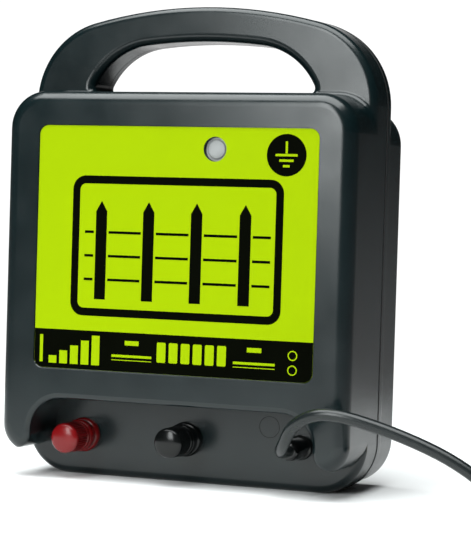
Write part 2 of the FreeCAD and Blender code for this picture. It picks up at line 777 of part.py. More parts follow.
def winding_insulation():
    return sleeve(4.0, 4.6, winding_low + 1.5, winding_high - 1.5)


def secondary_winding():
    return sleeve(4.6, 9.2, winding_low + 1.5, winding_high - 1.5)


def transformer_bracket():
    """Steel frame over the core with two feet on the rear wall."""
    c = core_centre
    sx, sy, sz = core_size
    low, high = c.z - 7, c.z + 7
    inner_back = back_y - wall
    sides = []
    for s in (-1, 1):
        x = c.x + s * sx / 2
        sides.append(block((min(x, x + s * 1.2), max(x, x + s * 1.2)), (c.y - sy / 2, inner_back),
                           (low, high)))
        sides.append(block((min(x, x + s * 11), max(x, x + s * 11)), (inner_back - 1.2, inner_back),
                           (low, high)))
        sides.append(block((min(x - s * 6, x + s * 1.2), max(x - s * 6, x + s * 1.2)),
                           (c.y - sy / 2 - 1.2, c.y - sy / 2), (low, high)))
    return compound([fuse(sides[:3]), fuse(sides[3:])])


def mounting_screws():
    """Short screws that hold the bracket, the strap and the terminal block."""
    inner_back = back_y - wall
    sx = core_size[0] / 2 + 7
    places = [(core_centre.x - sx, core_centre.z), (core_centre.x + sx, core_centre.z),
              (can_x - can_radius - 8, 70.0), (can_x + can_radius + 8, 70.0)]
    seats = [inner_back - 1.2, inner_back - 1.2, inner_back - 1.0, inner_back - 1.0]
    return compound([rod(x, z, y - 1.8, y, 2.8) for (x, z), y in zip(places, seats)])


def mains_terminal_block():
    """Two-pole screw block on the rear wall."""
    x0, z0 = 66.0, 84.0
    inner_back = back_y - wall
    body = block((x0, x0 + 22), (inner_back - 15, inner_back), (z0, z0 + 14))
    holes = [rod(x0 + 6 + 10 * i, z0 + 7, inner_back - 16, inner_back - 7, 2.2) for i in range(2)]
    holes += [Part.makeCylinder(1.6, 16, Vector(x0 + 6 + 10 * i, inner_back - 5, z0 - 1))
              for i in range(2)]
    return body.cut(holes)


def wire(points, radius):
    return tube(points, radius)[0]


def inner_leads():
    """Insulated wires inside the case: two to the terminals and two from the mains."""
    lug_y = shoulder_y + 12.7
    winding_y = core_centre.y - core_size[1] / 2 - 12.0
    leads = []
    for name, side in (("fence", -1), ("earth", 1)):
        x, z = terminals[name]
        end_x = core_centre.x + 14 * side
        lug_z = z + 10.0
        leads.append(wire([(x, lug_y, lug_z), (x, lug_y, lug_z + 12),
                           (0.4 * x + 0.6 * end_x, winding_y, lug_z + 24),
                           (end_x, winding_y, lug_z + 38)], 1.1))
    entry_y = shoulder_y + 20
    block_y = back_y - wall - 5
    supply = []
    for side in (-1, 1):
        start_x = gland_x + 1.5 * side
        goal = 77.0 + 5 * side
        supply.append(wire([(start_x, entry_y, gland_z), (start_x, entry_y + 8, gland_z),
                            (70.0 + 3 * side, block_y - 5, gland_z + 14),
                            (goal, block_y, 60.0), (goal + 0.5, block_y, 86.0)], 1.0))
    return leads[0], leads[1], compound(supply)


def cord_tail_inside():
    """Sheathed end of the lead, from the gland's tip to where its cores part."""
    return rod(gland_x, gland_z, shoulder_y - gland_reach, shoulder_y + 20.0, cord_diameter / 2)


# ---- mains lead ---------------------------------------------------------------------------
def mains_cord_coil():
    """Outer shape of the coil, less its tie and the two stretches that leave it."""
    outer = coil_outer_radius + cord_diameter / 2
    inner = coil_outer_radius - coil_turns_across * turn_pitch - cord_diameter / 2
    height = coil_layers * cord_diameter
    centre = Vector(coil_x, coil_y, coil_floor)
    ring = Part.makeCylinder(outer, height, centre)
    ring = ring.makeFillet(3.0, [e for e in ring.Edges if e.BoundBox.ZLength < 1e-6])
    ends = [tube(points, cord_diameter / 2)[0] for points in (route, tail)]
    return ring.cut([Part.makeCylinder(inner, height, centre), coil_tie()] + ends)


def coil_tie():
    """Flat band round the back of the coil."""
    outer = coil_outer_radius + cord_diameter / 2
    inner = coil_outer_radius - coil_turns_across * turn_pitch - cord_diameter / 2
    reach = (coil_y + inner - tie_thickness, coil_y + outer + tie_thickness)
    height = coil_floor + coil_layers * cord_diameter + tie_thickness
    across = (tie_x - tie_width / 2, tie_x + tie_width / 2)
    band = block(across, reach, (0.0, height))
    middle = block(across, (reach[0] + tie_thickness, reach[1] - tie_thickness),
                   (tie_thickness, height - tie_thickness))
    return band.cut(middle)


def lay_plug(shape):
    """From the plug's own frame, heading along +X from its cord end, to where it lies."""
    shape.rotate(Vector(0, 0, 0), Vector(0, 0, 1), plug_heading)
    shape.translate(plug_start)
    return shape


def plug_body():
    """Flat two-pin plug with its tapered, ribbed strain relief."""
    x_axis = Vector(1, 0, 0)
    relief = Part.makeCone(3.9, 5.4, relief_length + 1, Vector(0, 0, 0), x_axis)
    ribs = [Part.makeCylinder(4.6 + 0.25 * i, 2.0, Vector(3.0 + 3.6 * i, 0, 0), x_axis)
            for i in range(5)]
    x0 = relief_length
    x1 = relief_length + plug_length
    half = [(x0, 6.4), (x0 + 9, 12.8), (x1 - 12, 17.6), (x1, 17.6)]
    pts = [Vector(x, y, 0) for x, y in half] + [Vector(x, -y, 0) for x, y in reversed(half)]
    face = Part.Face(Part.makePolygon(pts + [pts[0]]))
    body = face.extrude(Vector(0, 0, plug_height))
    body.translate(Vector(0, 0, -plug_height / 2))
    body = body.makeFillet(2.6, [e for e in body.Edges if e.BoundBox.ZLength < 1e-6 and
                                 e.BoundBox.XMax < x1 + 1 and e.BoundBox.XLength > 1])
    return lay_plug(fuse([body, relief] + ribs))


def plug_pins():
    x1 = relief_length + plug_length
    pins = []
    for side in (-1, 1):
        pin = Part.makeCylinder(pin_radius, pin_length, Vector(x1, side * pin_spacing / 2, 0),
                                Vector(1, 0, 0))
        tip = [e for e in pin.Edges if e.BoundBox.XMin > x1 + pin_length - 1e-4]
        pins.append(pin.makeFillet(1.2, tip))
    return lay_plug(compound(pins))


def report_tube(name, points):
    solid, length, radii = tube(points, cord_diameter / 2)
    expected = math.pi * cord_diameter ** 2 / 4 * length
    print("%s length %.0f, volume / section x length %.4f" % (name, length, solid.Volume / expected))
    print("   radii", ["%.0f" % r for r in radii])
    return solid


def main():
    os.makedirs("parts", exist_ok=True)
    save("front_cover", front_cover())
    save("rear_cover", rear_cover())
    save("seam_gasket", seam_gasket())
    save("case_screws", case_screws())
    save("front_label", front_label())
    save("indicator_lens", indicator_lens())
    save("indicator_led", indicator_led())
    for name, place in terminals.items():
        save(name + "_terminal_base", terminal_base(*place))
        save(name + "_terminal_stud", terminal_stud(*place))
        save(name + "_terminal_nut", terminal_nut(*place))
        save(name + "_terminal_lock_nut", terminal_lock_nut(*place))
        save(name + "_terminal_lug", terminal_lug(*place))
        save(name + "_clamp_washer", clamp_washer(*place))
        save(name + "_knob", terminal_knob(*place))
        save(name + "_knob_insert", knob_insert(*place))
    save("cable_gland", cable_gland())
    save("gland_nut", gland_nut())
    save("circuit_board", circuit_board())
    save("board_screws", board_screws())
    save("filter_capacitors", filter_capacitors())
    save("smoothing_capacitors", smoothing_capacitors())
    save("storage_capacitor", storage_capacitor())
    save("capacitor_clamp", capacitor_clamp())
    save("thyristor", thyristor())
    save("heat_sink", heat_sink())
    save("board_diodes", board_diodes())
    save("board_resistors", board_resistors())
    save("fuse_holder", fuse_holder())
    save("mains_fuse", mains_fuse())
    save("control_chip", control_chip())
    save("transformer_core", transformer_core())
    save("transformer_bobbin", transformer_bobbin())
    save("primary_winding", primary_winding())
    save("winding_insulation", winding_insulation())
    save("secondary_winding", secondary_winding())
    save("transformer_bracket", transformer_bracket())
    save("mounting_screws", mounting_screws())
    save("mains_terminal_block", mains_terminal_block())
    output, earth, supply = inner_leads()
    save("output_lead", output)
    save("earth_lead", earth)
    save("supply_leads", supply)
    save("mains_cord_inner_end", cord_tail_inside())
    save("mains_cord_run", report_tube("mains_cord_run", route))
    save("mains_cord_coil", mains_cord_coil())
    save("mains_cord_tail", report_tube("mains_cord_tail", tail))
    save("coil_tie", coil_tie())
    save("plug_body", plug_body())
    save("plug_pins", plug_pins())


main()
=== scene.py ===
import json
import math

import bmesh
import bpy
from mathutils import Matrix, Vector


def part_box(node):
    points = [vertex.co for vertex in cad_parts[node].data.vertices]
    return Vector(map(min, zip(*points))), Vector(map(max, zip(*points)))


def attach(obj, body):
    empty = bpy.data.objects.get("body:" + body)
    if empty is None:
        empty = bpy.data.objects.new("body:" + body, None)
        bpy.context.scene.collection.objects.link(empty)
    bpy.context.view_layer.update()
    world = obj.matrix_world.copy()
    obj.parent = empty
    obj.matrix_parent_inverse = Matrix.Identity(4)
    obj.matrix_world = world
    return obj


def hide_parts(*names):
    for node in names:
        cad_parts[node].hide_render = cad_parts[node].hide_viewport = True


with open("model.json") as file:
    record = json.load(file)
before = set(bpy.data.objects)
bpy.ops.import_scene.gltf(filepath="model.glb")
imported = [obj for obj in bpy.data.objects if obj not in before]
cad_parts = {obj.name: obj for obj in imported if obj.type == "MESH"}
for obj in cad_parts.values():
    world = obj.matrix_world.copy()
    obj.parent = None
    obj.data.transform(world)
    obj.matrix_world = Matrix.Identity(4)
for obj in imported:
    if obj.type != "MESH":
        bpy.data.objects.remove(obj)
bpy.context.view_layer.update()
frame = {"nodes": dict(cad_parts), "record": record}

# A mains fence energizer.  Lengths are metres.  X is to the right, Y to the back, Z up, and the
# origin is under the middle of the case.
MM = 0.001
nodes = frame["nodes"]
front_low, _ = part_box("front_cover")
label_low, label_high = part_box("front_label")
label_face = label_low.y

# ---- camera -------------------------------------------------------------------------------
CAMERA_AT = Vector((0.43183, -1.02426, 0.14533))
CAMERA_AZIMUTH = 21.933
CAMERA_ELEVATION = 1.588
CAMERA_ROLL = -1.7217
CAMERA_LENS = 137.72


def make_camera():
    """Camera that looks almost level from the right of the front."""
    a, e, r = (math.radians(v) for v in (CAMERA_AZIMUTH, CAMERA_ELEVATION, CAMERA_ROLL))
    right = Vector((math.cos(a), math.sin(a), 0))
    back = Vector((math.sin(a) * math.cos(e), -math.cos(a) * math.cos(e), math.sin(e)))
    up = back.cross(right)
    across = right * math.cos(r) - up * math.sin(r)
    upright = right * math.sin(r) + up * math.cos(r)
    data = bpy.data.cameras.new("camera")
    data.lens = CAMERA_LENS
    data.sensor_width = 36.0
    data.clip_start = 0.05
    data.clip_end = 30.0
    camera = bpy.data.objects.new("camera", data)
    bpy.context.scene.collection.objects.link(camera)
    matrix = Matrix((across, upright, back)).transposed().to_4x4()
    matrix.translation = CAMERA_AT
    camera.matrix_world = matrix
    bpy.context.scene.camera = camera


make_camera()


# ---- objects and meshes -------------------------------------------------------------------
def link(obj):
    bpy.context.scene.collection.objects.link(obj)
    return obj


def mesh_object(name, verts, faces):
    mesh = bpy.data.meshes.new(name)
    mesh.from_pydata([tuple(v) for v in verts], [], faces)
    bm = bmesh.new()
    bm.from_mesh(mesh)
    bmesh.ops.recalc_face_normals(bm, faces=bm.faces)
    bm.to_mesh(mesh)
    bm.free()
    for polygon in mesh.polygons:
        polygon.use_smooth = True
    return link(bpy.data.objects.new(name, mesh))


def sharpen(obj, degrees=35):
    """Smooth shading with hard edges where two faces meet at more than the angle."""
    obj.data.set_sharp_from_angle(angle=math.radians(degrees))
    return obj


def axis_of(name):
    """(x, z) of the middle of a CAD node's box."""
    low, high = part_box(name)
    return (low.x + high.x) / 2, (low.z + high.z) / 2


def grid_faces(rows, columns, closed=True):
    """Quads of a tube whose points are stored row by row; a closed one joins its ends."""
    faces = []
    for row in range(rows if closed else rows - 1):
        here, after = row * columns, (row + 1) % rows * columns
        for i in range(columns):
            j = (i + 1) % columns
            faces.append([here + i, here + j, after + j, after + i])
    return faces


def lathe(name, profile, centre, segments=96, shape=None):
    """Solid of revolution about a line along Y.

    profile is (radius, y) from the front; a radius of 0 closes it on the axis, and otherwise the
    last ring joins the first.  shape(radius, y, angle) may change a point's radius."""
    cx, cz = centre
    rings = []
    verts = []
    for radius, y in profile:
        if radius == 0:
            rings.append([len(verts)])
            verts.append((cx, y, cz))
            continue
        ring = []
        for i in range(segments):
            t = 2 * math.pi * i / segments
            r = shape(radius, y, t) if shape else radius
            ring.append(len(verts))
            verts.append((cx + r * math.cos(t), y, cz + r * math.sin(t)))
        rings.append(ring)
    pairs = list(zip(rings, rings[1:]))
    if len(rings[0]) > 1:
        pairs.append((rings[-1], rings[0]))
    faces = []
    for a, b in pairs:
        for i in range(segments):
            j = (i + 1) % segments
            quad = [a[i % len(a)], a[j % len(a)], b[j % len(b)], b[i % len(b)]]
            quad = list(dict.fromkeys(quad))
            if len(quad) > 2:
                faces.append(quad)
    return mesh_object(name, verts, faces)


def rounded(points, radius, steps=5):
    """Profile with its inner corners rounded; the first and last points stay."""
    out = [points[0]]
    for before, here, after in zip(points, points[1:], points[2:]):
        p0, p1, p2 = Vector(before), Vector(here), Vector(after)
        size = min(radius, 0.45 * (p0 - p1).length, 0.45 * (p2 - p1).length)
        a = p1 + (p0 - p1).normalized() * size
        b = p1 + (p2 - p1).normalized() * size
        for i in range(steps + 1):
            t = i / steps
            out.append(tuple((1 - t) ** 2 * a + 2 * t * (1 - t) * p1 + t * t * b))
    out.append(points[-1])
    return out


# ---- materials ----------------------------------------------------------------------------
class Nodes:
    """Short forms for building a material's nodes."""

    def __init__(self, name):
        self.material = bpy.data.materials.new(name)
        self.material.use_nodes = True
        self.tree = self.material.node_tree
        self.shader = self.tree.nodes["Principled BSDF"]
        self.place = self.add("ShaderNodeTexCoord").outputs["Object"]

    def add(self, kind):
        return self.tree.nodes.new(kind)

    def join(self, a, b):
        self.tree.links.new(a, b)

    def stretched(self, scale):
        node = self.add("ShaderNodeMapping")
        node.inputs["Scale"].default_value = scale
        self.join(self.place, node.inputs["Vector"])
        return node.outputs["Vector"]

    def noise(self, scale, detail=3.0, roughness=0.5, stretch=None):
        node = self.add("ShaderNodeTexNoise")
        node.inputs["Scale"].default_value = scale
        node.inputs["Detail"].default_value = detail
        node.inputs["Roughness"].default_value = roughness
        self.join(self.stretched(stretch) if stretch else self.place, node.inputs["Vector"])
        return node.outputs["Fac"]

    def colours(self, value, low, high):
        node = self.add("ShaderNodeValToRGB")
        node.color_ramp.elements[0].position = 0.35
        node.color_ramp.elements[1].position = 0.65
        node.color_ramp.elements[0].color = (*low, 1)
        node.color_ramp.elements[1].color = (*high, 1)
        self.join(value, node.inputs["Fac"])
        self.join(node.outputs["Color"], self.shader.inputs["Base Color"])

    def roughness(self, value, low, high):
        node = self.add("ShaderNodeMapRange")
        node.inputs["From Min"].default_value = 0.3
        node.inputs["From Max"].default_value = 0.7
        node.inputs["To Min"].default_value = low
        node.inputs["To Max"].default_value = high
        self.join(value, node.inputs["Value"])
        self.join(node.outputs["Result"], self.shader.inputs["Roughness"])

    def bump(self, value, distance):
        node = self.add("ShaderNodeBump")
        node.inputs["Distance"].default_value = distance
        node.inputs["Strength"].default_value = 1.0
        self.join(value, node.inputs["Height"])
        self.join(node.outputs["Normal"], self.shader.inputs["Normal"])


def moulded(name, colour, rough, spread=0.06, grain=2600, depth=2e-5, shade=0.12, coat=0.0,
            specular=0.5):
    """Moulded plastic or rubber: fine eroded grain, faint flow marks and uneven gloss."""
    n = Nodes(name)
    n.shader.inputs["Specular IOR Level"].default_value = specular
    n.colours(n.noise(28, 4), [c * (1 - shade) for c in colour], [c * (1 + shade) for c in colour])
    n.roughness(n.noise(55, 3), rough - spread, rough + spread)
    n.bump(n.noise(grain, 2, 0.6), depth)
    n.shader.inputs["Coat Weight"].default_value = coat
    n.shader.inputs["Coat Roughness"].default_value = 0.12
    return n.material


def metal(name, colour, rough, grain=(400, 400, 4000)):
    """Bare metal with fine marks; the grain is their number per metre along each axis."""
    n = Nodes(name)
    n.shader.inputs["Metallic"].default_value = 1.0
    n.colours(n.noise(60, 4), [c * 0.85 for c in colour], colour)
    n.roughness(n.noise(1, 4, 0.6, grain), rough - 0.08, rough + 0.1)
    n.bump(n.noise(1, 3, 0.6, grain), 1e-5)
    return n.material


CASE_COLOUR = (0.0025, 0.0075, 0.0085)
LIME = (0.268, 0.395, 0.0008)
INK = (0.0018, 0.0022, 0.0012)

case_plastic = moulded("case_plastic", CASE_COLOUR, 0.24, spread=0.03, grain=2200, depth=4e-6,
                       shade=0.1, specular=0.42)
label_lime = moulded("label_lime", LIME, 0.6, spread=0.04, grain=5000, depth=4e-6, shade=0.01,
                     specular=0.02)
label_ink = moulded("label_ink", INK, 0.6, spread=0.05, grain=5000, depth=4e-6, shade=0.1,
                    specular=0.0)
red_plastic = moulded("red_plastic", (0.145, 0.003, 0.004), 0.25, spread=0.05, grain=1500,
                      depth=6e-6, shade=0.08, coat=0.1, specular=0.28)
black_plastic = moulded("black_plastic", (0.003, 0.0036, 0.0036), 0.17, spread=0.03, grain=1500,
                        depth=5e-6, shade=0.1, coat=0.08, specular=0.24)
gland_plastic = moulded("gland_plastic", (0.004, 0.0045, 0.0045), 0.13, spread=0.03, grain=900,
                        depth=3e-6, shade=0.1, specular=0.4)
cord_sheath = moulded("cord_sheath", (0.009, 0.012, 0.0125), 0.25, spread=0.04, grain=1800,
                      depth=8e-6, shade=0.08, specular=0.35)
plug_plastic = moulded("plug_plastic", (0.014, 0.015, 0.015), 0.45, depth=3e-5, shade=0.1)
seal_rubber = moulded("seal_rubber", (0.006, 0.006, 0.006), 0.7)
lens_plastic = moulded("lens_plastic", (0.28, 0.29, 0.29), 0.5, grain=900, depth=8e-5, shade=0.25)
steel = metal("zinc_steel", (0.62, 0.62, 0.6), 0.34)
brass = metal("brass", (0.72, 0.53, 0.25), 0.3)
copper = metal("copper_wire", (0.75, 0.33, 0.17), 0.35, (40, 40, 3200))
aluminium = metal("aluminium", (0.6, 0.6, 0.62), 0.35)
core_steel = metal("core_steel", (0.16, 0.15, 0.14), 0.5, (40, 3000, 40))
other = {
    "led_resin": moulded("led_resin", (0.6, 0.03, 0.02), 0.15, spread=0.03),
    "board_laminate": moulded("board_laminate", (0.012, 0.11, 0.035), 0.35, spread=0.05,
                              grain=900, depth=3e-5, shade=0.3),
    "component_plastic": moulded("component_plastic", (0.012, 0.012, 0.013), 0.45),
    "potted_box": moulded("potted_box", (0.62, 0.36, 0.02), 0.3),
    "capacitor_sleeve": moulded("capacitor_sleeve", (0.012, 0.03, 0.14), 0.22, spread=0.05,
                                grain=600),
    "bobbin_plastic": moulded("bobbin_plastic", (0.62, 0.58, 0.46), 0.5),
    "insulation_tape": moulded("insulation_tape", (0.66, 0.48, 0.05), 0.3),
    "red_wire": moulded("red_wire", (0.35, 0.008, 0.008), 0.35),
    "black_wire": moulded("black_wire", (0.012, 0.012, 0.012), 0.35),
    "blue_brown_wire": moulded("blue_brown_wire", (0.05, 0.03, 0.025), 0.35),
    "tie_strap": moulded("tie_strap", (0.015, 0.015, 0.016), 0.85, spread=0.05, grain=1600,
                         depth=2e-4, shade=0.3),
}


def fuse_glass_material():
    """Clear glass tube."""
    n = Nodes("fuse_glass")
    n.colours(n.noise(200), (0.8, 0.84, 0.84), (0.9, 0.93, 0.93))
    n.roughness(n.noise(120), 0.03, 0.08)
    n.shader.inputs["Transmission Weight"].default_value = 0.9
    return n.material


slot_materials = {
    "case_plastic": case_plastic,
    "label_film": label_lime,
    "seal_rubber": seal_rubber,
    "lens_plastic": lens_plastic,
    "red_plastic": red_plastic,
    "black_plastic": black_plastic,
    "steel": steel,
    "brass": brass,
    "heat_sink_metal": aluminium,
    "core_steel": core_steel,
    "copper_wire": copper,
    "fuse_glass": fuse_glass_material(),
    "cord_sheath": cord_sheath,
    "plug_plastic": plug_plastic,
    **other,
}


def paint(obj, material):
    obj.data.materials.clear()
    obj.data.materials.append(material)


def paint_cad_nodes():
    """Give every CAD node its slot's material; the pieces below stand in front of some."""
    for entry in frame["record"]["subparts"]:
        paint(nodes[entry["node"]], slot_materials[entry["material_slot"]])


paint_cad_nodes()


def piece(obj, material, slot, body, *replaced):
    """Give a piece its material and its body, and hide the CAD nodes it stands for; slot is not
    used.
    """
    paint(obj, material)
    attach(obj, body)
    if replaced:
        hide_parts(*replaced)
    return obj


# ---- mains lead ---------------------------------------------------------------------------
CORD_DIAMETER = 0.0064
TURN_PITCH = 0.0066
COIL_RADIUS = 0.045
COIL_AT = Vector((0.214, -0.012, 0))
LOW_TURNS_Z = 0.0041
HIGH_TURNS_Z = 0.0105
TURNS_IN = 3.0
TURNS_UP = 3.5
TURNS = 6.25
POINTS_A_TURN = 16

route = [(0.0632, -0.0300, 0.0235), (0.0632, -0.0415, 0.0235), (0.0690, -0.0530, 0.0285),
         (0.0770, -0.0605, 0.0415), (0.0950, -0.0635, 0.0490), (0.1305, -0.0595, 0.0400),
         (0.1640, -0.0570, 0.0265), (0.1900, -0.0575, 0.0065)]
tail = [(0.2573, 0.0060, 0.0098), (0.2525, 0.0250, 0.0080), (0.2400, 0.0400, 0.00685),
        (0.2240, 0.0465, 0.00685)]


def coil_point(turn):
    """Point of the coil: a spiral in on the floor, a step up and a spiral out on top of it."""
    inmost = COIL_RADIUS - TURNS_IN * TURN_PITCH
    if turn <= TURNS_IN:
        radius = COIL_RADIUS - TURN_PITCH * turn
    else:
        radius = inmost + TURN_PITCH * max(0.0, turn - TURNS_UP)
    step = min(1.0, max(0.0, (turn - TURNS_IN) / (TURNS_UP - TURNS_IN)))
    rise = step * step * (3 - 2 * step)
    angle = 2 * math.pi * (turn - 0.25)
    return (COIL_AT.x + radius * math.cos(angle), COIL_AT.y + radius * math.sin(angle),
            LOW_TURNS_Z + (HIGH_TURNS_Z - LOW_TURNS_Z) * rise)


def make_cord():
    """The whole lead, from the gland through the coil to the plug."""
    turns = [coil_point(i / POINTS_A_TURN) for i in range(int(TURNS * POINTS_A_TURN) + 1)]
    points = route + turns + tail
    curve = bpy.data.curves.new("mains_cord", "CURVE")
    curve.dimensions = "3D"
    curve.resolution_u = 6
    curve.bevel_depth = CORD_DIAMETER / 2
    curve.bevel_resolution = 5
    curve.use_fill_caps = True
    spline = curve.splines.new("NURBS")
    spline.points.add(len(points) - 1)
    for target, point in zip(spline.points, points):
        target.co = (*point, 1)
    spline.order_u = 3
    spline.use_endpoint_u = True
    return link(bpy.data.objects.new("mains_cord", curve))


cord = piece(make_cord(), cord_sheath, "cord_sheath", "case",
             "mains_cord_run", "mains_cord_coil", "mains_cord_tail")

# ---- plug ---------------------------------------------------------------------------------
PLUG_FROM = Vector(tail[-1])
PLUG_AXIS = (Vector(tail[-1]) - Vector(tail[-2])).normalized()
RELIEF_LENGTH = 0.022
PLUG_LENGTH = 0.0353


def plug_section(s):
    """(half width, half height, squareness) at a distance from the plug's cord end."""
    if s <= RELIEF_LENGTH:
        t = s / RELIEF_LENGTH
        base = 0.0039 + 0.0015 * t
        ribs = 0.0005 * (0.5 + 0.5 * math.cos(2 * math.pi * s / 0.0036)) if 0.001 < s < 0.02 else 0
        return base + ribs, base + ribs, 2.0
    t = (s - RELIEF_LENGTH) / PLUG_LENGTH
    shoulder = min(1.0, t / 0.28)
    ease = shoulder * shoulder * (3 - 2 * shoulder)
    half_width = 0.0056 + 0.0072 * ease + 0.0048 * min(1.0, max(0.0, (t - 0.2) / 0.5))
    half_height = 0.0055 + 0.00135 * ease
    end = max(0.0, (t - 0.94) / 0.06)
    shrink = 0.0011 * end * end
    return half_width - shrink, half_height - shrink, 2.0 + 4.0 * ease


def make_plug():
    """Flat plug that widens from a ribbed strain relief to a squarish body."""
    side = Vector((0, 0, 1)).cross(PLUG_AXIS)
    up = Vector((0, 0, 1))
    step = 0.0004
    stations = [i * step for i in range(int(RELIEF_LENGTH / step))]
    stations += [RELIEF_LENGTH + PLUG_LENGTH * i / 60 for i in range(61)]
    segments = 64
    verts = []
    for s in stations:
        w, h, n = plug_section(s)
        for i in range(segments):
            t = 2 * math.pi * i / segments
            c, v = math.cos(t), math.sin(t)
            x = w * math.copysign(abs(c) ** (2 / n), c)
            z = h * math.copysign(abs(v) ** (2 / n), v)
            verts.append(PLUG_FROM + PLUG_AXIS * s + side * x + up * z)
    faces = grid_faces(len(stations), segments, closed=False)
    faces.append(list(range(segments)))
    faces.append([(len(stations) - 1) * segments + i for i in range(segments)])
    return sharpen(mesh_object("plug_body_shape", verts, faces), 50)


plug = piece(make_plug(), plug_plastic, "plug_plastic", "case", "plug_body")


# ---- tie of the coil ----------------------------------------------------------------------
def make_tie():
    """Hook-tape strap round the coil, with a rounded corner at each turn."""
    low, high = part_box("coil_tie")
    thickness = 0.0008
    corner = 0.0045
    half = (high.x - low.x) / 2
    middle = (high.x + low.x) / 2
    y0, y1, z0, z1 = low.y, high.y, low.z, high.z
    path = []
    corners = [(y1 - corner, z0 + corner, -90), (y1 - corner, z1 - corner, 0),
               (y0 + corner, z1 - corner, 90), (y0 + corner, z0 + corner, 180)]
    for cy, cz, start in corners:
        for i in range(9):
            path.append((cy, cz, math.radians(start + 90 * i / 8)))
    verts = []
    for cy, cz, t in path:
        for x, r in ((-half, corner), (half, corner), (half, corner - thickness),
                     (-half, corner - thickness)):
            verts.append((middle + x, cy + r * math.cos(t), cz + r * math.sin(t)))
    return sharpen(mesh_object("coil_strap", verts, grid_faces(len(path), 4)), 40)


tie = piece(make_tie(), other["tie_strap"], "tie_strap", "case", "coil_tie")

# ---- terminals ----------------------------------------------------------------------------
BAY_DEPTH = 0.032
BAY_FLOOR = front_low.y + BAY_DEPTH
TEETH = 36
RIB_DEPTH = 0.0006
RIB_RUN_OUT = 0.0009
BORE_RADIUS = 0.0050
BORE_END = 0.0045       # behind the tip of the cap


def terminal_knob(name):
    """Ribbed grip with a domed cap and a plain skirt behind a groove."""
    low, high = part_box(name)
    tip, foot = low.y, high.y
    rib_start = tip + 0.0028
    rib_end = foot - 0.0036
    grip, spread, waist = 0.00795, 0.00012, 0.0073
    outline = [(0.0, tip), (0.0020, tip + 0.00008), (0.0040, tip + 0.00032),
               (0.0056, tip + 0.00070), (0.0066, tip + 0.00110), (waist, tip + 0.00160),
               (0.00775, tip + 0.0022), (grip, rib_start)]
    steps = 12
    outline += [(grip + spread * i / steps, rib_start + (rib_end - rib_start) * i / steps)
                for i in range(1, steps + 1)]
    outline += rounded([(0.0080, rib_end + 0.0002), (waist, rib_end + 0.0006),
                        (waist, foot - 0.0024), (0.0080, foot - 0.0020),
                        (0.0081, foot - 0.0005), (0.0077, foot), (BORE_RADIUS, foot)], 0.0003)
    outline += [(BORE_RADIUS, tip + BORE_END), (0.0, tip + BORE_END)]

    def ribs(radius, y, angle):
        """Cut the grip's grooves, which run out towards the cap."""
        if radius < 0.0075 or y < rib_start or y > rib_end + 0.00005:
            return radius
        fade = min(1.0, max(0.0, (y - rib_start) / RIB_RUN_OUT))
        wave = abs(math.sin(TEETH * angle / 2))
        return radius - RIB_DEPTH * fade * (1 - wave) ** 1.5

    return sharpen(lathe(name + "_grip", outline, axis_of(name), TEETH * 8, ribs), 45)


def terminal_collar(name):
    """Flat ring with a raised rim in front and a rounded shoulder."""
    low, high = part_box(name)
    outline = rounded([(0.00305, low.y + 0.0003), (0.0074, low.y + 0.0003), (0.0076, low.y),
                       (0.0081, low.y), (0.0087, low.y + 0.0012), (0.0087, high.y - 0.0003),
                       (0.0084, high.y), (0.00305, high.y)], 0.0006, 6)
    return sharpen(lathe(name + "_ring", outline, axis_of(name), 128), 40)


def terminal_foot(name):
    """Flange on the bay floor with a narrower seat in front and a neck behind."""
    low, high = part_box(name)
    outline = rounded([(0.003, low.y), (0.0078, low.y), (0.0078, BAY_FLOOR - 0.0038),
                       (0.0087, BAY_FLOOR - 0.0036), (0.0093, BAY_FLOOR - 0.0024),
                       (0.0093, BAY_FLOOR), (0.0050, BAY_FLOOR), (0.0050, high.y),
                       (0.003, high.y)], 0.0004)
    return sharpen(lathe(name + "_flange", outline, axis_of(name), 128), 40)


for terminal, material, slot in (("fence", red_plastic, "red_plastic"),
                                 ("earth", black_plastic, "black_plastic")):
    piece(terminal_knob(terminal + "_knob"), material, slot, terminal + "_knob_body",
          terminal + "_knob")
    piece(terminal_collar(terminal + "_clamp_washer"), material, slot, terminal + "_washer_body",
          terminal + "_clamp_washer")
    piece(terminal_foot(terminal + "_terminal_base"), material, slot, "case",
          terminal + "_terminal_base")


# ---- cable gland --------------------------------------------------------------------------
def make_gland():
    """Strain-relief bush: a flange, a groove, a smooth tapered nose and a rounded tip."""
    low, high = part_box("cable_gland")
    bore = CORD_DIAMETER / 2
    outline = [(bore, low.y), (0.0038, low.y), (0.0045, low.y + 0.0005),
               (0.0050, low.y + 0.0013), (0.0053, low.y + 0.0026), (0.0055, low.y + 0.0060),
               (0.0058, BAY_FLOOR - 0.0050), (0.0052, BAY_FLOOR - 0.0047),
               (0.0052, BAY_FLOOR - 0.0028), (0.0063, BAY_FLOOR - 0.0024),
               (0.0066, BAY_FLOOR - 0.0019), (0.0066, BAY_FLOOR), (0.0055, BAY_FLOOR),
               (0.0055, high.y), (bore, high.y)]
    outline = rounded(outline, 0.0006)
    return sharpen(lathe("gland_bush", outline, axis_of("cable_gland")), 50)


piece(make_gland(), gland_plastic, "black_plastic", "case", "cable_gland")


# ---- indicator ----------------------------------------------------------------------------
def make_lens():
    """Frosted disc with a raised middle, set back in its hole."""
    low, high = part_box("indicator_lens")
    radius = (high.x - low.x) / 2
    face = low.y
    outline = [(0.0, face + 0.0002), (0.0030, face + 0.00025), (0.0046, face + 0.0004),
               (0.0049, face + 0.0007), (0.0052, face + 0.0010), (radius, face + 0.0010),
               (radius, face + 0.0020), (0.0040, face + 0.0020), (0.0040, high.y), (0.0, high.y)]
    outline = rounded(outline, 0.0004)
    return sharpen(lathe("indicator_window", outline, axis_of("indicator_lens")), 40)


piece(make_lens(), lens_plastic, "lens_plastic", "case", "indicator_lens")


